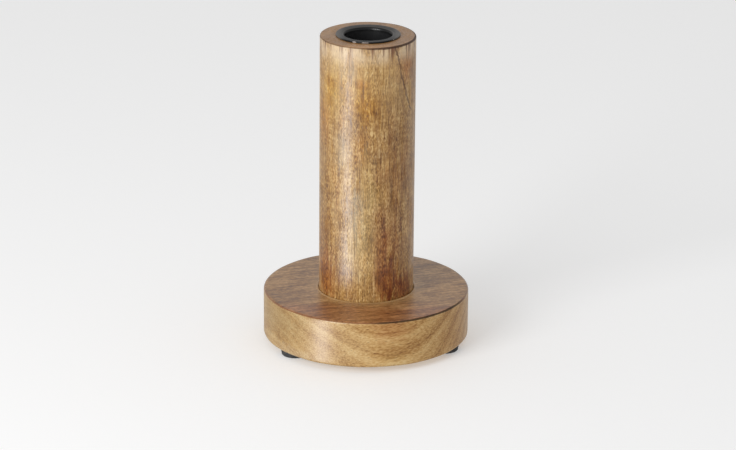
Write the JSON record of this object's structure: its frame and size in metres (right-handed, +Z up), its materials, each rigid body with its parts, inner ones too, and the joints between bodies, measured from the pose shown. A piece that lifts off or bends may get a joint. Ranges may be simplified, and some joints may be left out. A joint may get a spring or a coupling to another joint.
{
  "type": "candlestick",
  "caption": "Turned wooden candlestick: a straight round stem set in a disc base, with a lift-out black metal cup for a dinner candle and rubber feet.",
  "frame": {"origin": "on the surface that the feet stand on, under the centre of the base", "axes": "+Z up along the stem's axis, -Y towards the front, +X to the right seen from the front"},
  "size_m": [0.1, 0.1, 0.1543],
  "materials": {
    "base_wood": "semi-gloss lacquer over mango-type wood",
    "stem_wood": "semi-gloss lacquer over mango-type wood",
    "dowel_wood": "bare beech",
    "black_metal": "semi-gloss black paint",
    "black_rubber": "matt",
    "zinc_steel": "bright zinc plating"
  },
  "bodies": {
    "root": {"base": "base_wood", "stem": "stem_wood", "centre_screw": "zinc_steel", "screw_washer": "zinc_steel", "dowel_front": "dowel_wood", "dowel_back": "dowel_wood", "foot_back": "black_rubber", "foot_front_left": "black_rubber", "foot_front_right": "black_rubber"},
    "cup": {"candle_cup": "black_metal"}
  },
  "joints": [
    {"name": "candle_cup_lift", "type": "slide", "parent": "root", "child": "cup", "axis": [0, 0, 1], "range_m": [0, 0.03]}
  ]
}
